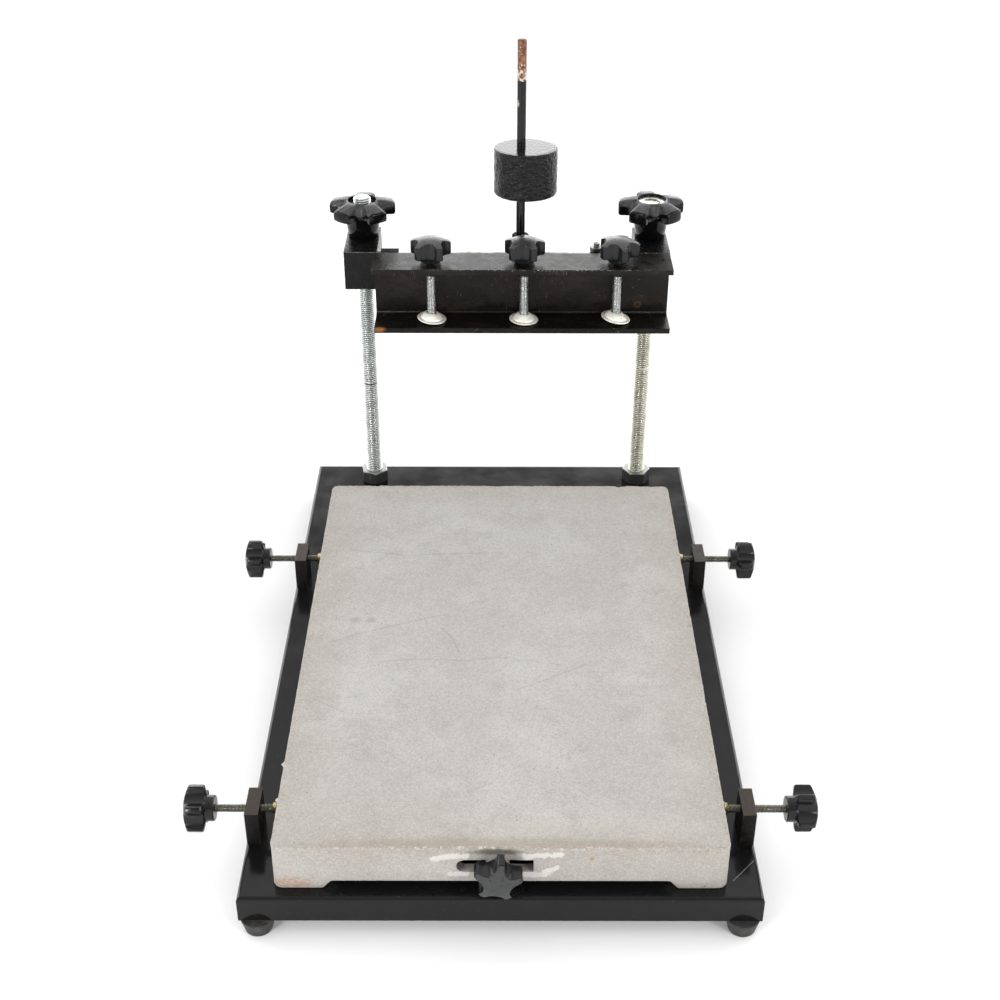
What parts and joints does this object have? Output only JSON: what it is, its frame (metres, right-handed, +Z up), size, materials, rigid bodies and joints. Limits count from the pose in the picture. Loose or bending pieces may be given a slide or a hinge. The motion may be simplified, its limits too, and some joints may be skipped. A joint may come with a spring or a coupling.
{
  "type": "screen printing press",
  "caption": "Manual tabletop screen printing press: cast work table on a steel tray, registration screws, and a hinged, counterweighted frame clamp on threaded columns.",
  "frame": {"origin": "centre of the tray, on the surface that the feet stand on", "axes": "+X right as seen from the front, +Y to the back, +Z up"},
  "size_m": [0.46, 0.6041, 0.4818],
  "materials": {
    "black_enamel": "gloss black enamel on steel",
    "black_paint": "thin satin black paint, worn at the edges",
    "cast_plate": "rough as-cast, dull",
    "zinc_plate": "bright zinc plating",
    "bright_steel": "bare drawn steel",
    "blackened_steel": "blackened steel with bare corners",
    "nickel_pad": "satin nickel",
    "brass_tip": "turned brass, dull",
    "moulded_plastic": "satin moulded plastic",
    "gloss_knob": "glossy moulded plastic",
    "foot_rubber": "matt rubber"
  },
  "bodies": {
    "base": {"base_tray": "black_enamel", "foot_strips": "black_enamel", "foot_fixings": "zinc_plate", "feed_lug": "black_paint", "column_nuts": "blackened_steel", "left_front_foot": "foot_rubber", "right_front_foot": "foot_rubber", "left_rear_foot": "foot_rubber", "right_rear_foot": "foot_rubber", "left_front_lug": "black_paint", "right_front_lug": "black_paint", "left_rear_lug": "black_paint", "right_rear_lug": "black_paint", "left_column": "zinc_plate", "right_column": "zinc_plate"},
    "carriage": {"left_slide_block": "black_enamel", "right_slide_block": "black_enamel", "hinge_shaft": "bright_steel", "shaft_grub_screws": "blackened_steel", "stop_screw": "zinc_plate", "stop_nut": "blackened_steel"},
    "left_lift": {"left_lift_knob": "gloss_knob", "left_lift_nut": "zinc_plate"},
    "right_lift": {"right_lift_knob": "gloss_knob", "right_lift_nut": "zinc_plate"},
    "clamp": {"clamp_channel": "black_paint", "left_hinge_lug": "black_paint", "right_hinge_lug": "black_paint", "rod_lug": "black_paint", "clamp_nuts": "black_paint", "counterweight_rod": "black_enamel", "rod_nut": "blackened_steel"},
    "weight": {"counterweight": "black_enamel", "weight_screw": "blackened_steel"},
    "feed": {"feed_washers": "zinc_plate"},
    "feed_turn": {"front_screw": "zinc_plate", "front_knob": "moulded_plastic", "feed_nut": "zinc_plate"},
    "platen": {"platen": "cast_plate"},
    "left_pad": {"left_clamp_pad": "nickel_pad"},
    "left_clamp_turn": {"left_clamp_screw": "zinc_plate", "left_clamp_knob": "moulded_plastic"},
    "middle_pad": {"middle_clamp_pad": "nickel_pad"},
    "middle_clamp_turn": {"middle_clamp_screw": "zinc_plate", "middle_clamp_knob": "moulded_plastic"},
    "right_pad": {"right_clamp_pad": "nickel_pad"},
    "right_clamp_turn": {"right_clamp_screw": "zinc_plate", "right_clamp_knob": "moulded_plastic"},
    "left_front_push": {"left_front_tip": "brass_tip"},
    "left_front_turn": {"left_front_screw": "zinc_plate", "left_front_knob": "moulded_plastic"},
    "right_front_push": {"right_front_tip": "brass_tip"},
    "right_front_turn": {"right_front_screw": "zinc_plate", "right_front_knob": "moulded_plastic"},
    "left_rear_push": {"left_rear_tip": "brass_tip"},
    "left_rear_turn": {"left_rear_screw": "zinc_plate", "left_rear_knob": "moulded_plastic"},
    "right_rear_push": {"right_rear_tip": "brass_tip"},
    "right_rear_turn": {"right_rear_screw": "zinc_plate", "right_rear_knob": "moulded_plastic"}
  },
  "joints": [
    {"name": "carriage_height", "type": "slide", "parent": "base", "child": "carriage", "axis": [0, 0, 1], "range_m": [-0.155, 0.02]},
    {"name": "left_knob_turn", "type": "hinge", "parent": "carriage", "child": "left_lift", "pos_m": [-0.1261, 0.269, 0.297], "axis": [0, 0, 1], "range_deg": [-27900, 3600]},
    {"name": "right_knob_turn", "type": "hinge", "parent": "carriage", "child": "right_lift", "pos_m": [0.1369, 0.269, 0.297], "axis": [0, 0, 1], "range_deg": [-27900, 3600]},
    {"name": "clamp_hinge", "type": "hinge", "parent": "carriage", "child": "clamp", "pos_m": [0, 0.236, 0.2885], "axis": [-1, 0, 0], "range_deg": [-6, 40]},
    {"name": "weight_slide", "type": "slide", "parent": "clamp", "child": "weight", "axis": [0, 0.0523, 0.9986], "range_m": [-0.003, 0.085]},
    {"name": "left_pad_slide", "type": "slide", "parent": "clamp", "child": "left_pad", "axis": [0, 0, 1], "range_m": [0, 0.025]},
    {"name": "left_clamp_screw_turn", "type": "hinge", "parent": "left_pad", "child": "left_clamp_turn", "pos_m": [-0.06205, 0.203, 0.2998], "axis": [0, 0, 1], "range_deg": [0, 7200]},
    {"name": "middle_pad_slide", "type": "slide", "parent": "clamp", "child": "middle_pad", "axis": [0, 0, 1], "range_m": [0, 0.025]},
    {"name": "middle_clamp_screw_turn", "type": "hinge", "parent": "middle_pad", "child": "middle_clamp_turn", "pos_m": [0.0207, 0.203, 0.2998], "axis": [0, 0, 1], "range_deg": [0, 7200]},
    {"name": "right_pad_slide", "type": "slide", "parent": "clamp", "child": "right_pad", "axis": [0, 0, 1], "range_m": [0, 0.025]},
    {"name": "right_clamp_screw_turn", "type": "hinge", "parent": "right_pad", "child": "right_clamp_turn", "pos_m": [0.10345, 0.203, 0.2998], "axis": [0, 0, 1], "range_deg": [0, 7200]},
    {"name": "platen_feed", "type": "slide", "parent": "base", "child": "feed", "axis": [0, 1, 0], "range_m": [-0.005, 0.005]},
    {"name": "front_screw_turn", "type": "hinge", "parent": "feed", "child": "feed_turn", "pos_m": [-0.002, -0.2858, 0.0565], "axis": [0, 1, 0], "range_deg": [-1440, 1440]},
    {"name": "platen_shift", "type": "slide", "parent": "feed", "child": "platen", "axis": [1, 0, 0], "range_m": [-0.006, 0.006]},
    {"name": "left_front_tip_slide", "type": "slide", "parent": "base", "child": "left_front_push", "axis": [1, 0, 0], "range_m": [-0.006, 0.006]},
    {"name": "left_front_screw_turn", "type": "hinge", "parent": "left_front_push", "child": "left_front_turn", "pos_m": [-0.207, -0.228, 0.0575], "axis": [1, 0, 0], "range_deg": [-2160, 2160]},
    {"name": "right_front_tip_slide", "type": "slide", "parent": "base", "child": "right_front_push", "axis": [1, 0, 0], "range_m": [-0.006, 0.006]},
    {"name": "right_front_screw_turn", "type": "hinge", "parent": "right_front_push", "child": "right_front_turn", "pos_m": [0.207, -0.228, 0.0575], "axis": [1, 0, 0], "range_deg": [-2160, 2160]},
    {"name": "left_rear_tip_slide", "type": "slide", "parent": "base", "child": "left_rear_push", "axis": [1, 0, 0], "range_m": [-0.006, 0.006]},
    {"name": "left_rear_screw_turn", "type": "hinge", "parent": "left_rear_push", "child": "left_rear_turn", "pos_m": [-0.207, 0.092, 0.0575], "axis": [1, 0, 0], "range_deg": [-2160, 2160]},
    {"name": "right_rear_tip_slide", "type": "slide", "parent": "base", "child": "right_rear_push", "axis": [1, 0, 0], "range_m": [-0.006, 0.006]},
    {"name": "right_rear_screw_turn", "type": "hinge", "parent": "right_rear_push", "child": "right_rear_turn", "pos_m": [0.207, 0.092, 0.0575], "axis": [1, 0, 0], "range_deg": [-2160, 2160]}
  ],
  "couplings": [
    {"joint": "right_knob_turn", "follows": "left_knob_turn", "ratio": 1},
    {"joint": "carriage_height", "follows": "left_knob_turn", "m_per_rad": 0.00031831},
    {"joint": "left_clamp_screw_turn", "follows": "left_pad_slide", "rad_per_m": 5026.5},
    {"joint": "middle_clamp_screw_turn", "follows": "middle_pad_slide", "rad_per_m": 5026.5},
    {"joint": "right_clamp_screw_turn", "follows": "right_pad_slide", "rad_per_m": 5026.5},
    {"joint": "front_screw_turn", "follows": "platen_feed", "rad_per_m": 5026.5},
    {"joint": "left_front_screw_turn", "follows": "platen_shift", "rad_per_m": 6283.2},
    {"joint": "left_front_tip_slide", "follows": "platen_shift", "ratio": 1},
    {"joint": "right_front_screw_turn", "follows": "platen_shift", "rad_per_m": 6283.2},
    {"joint": "right_front_tip_slide", "follows": "platen_shift", "ratio": 1},
    {"joint": "left_rear_screw_turn", "follows": "platen_shift", "rad_per_m": 6283.2},
    {"joint": "left_rear_tip_slide", "follows": "platen_shift", "ratio": 1},
    {"joint": "right_rear_screw_turn", "follows": "platen_shift", "rad_per_m": 6283.2},
    {"joint": "right_rear_tip_slide", "follows": "platen_shift", "ratio": 1}
  ]
}
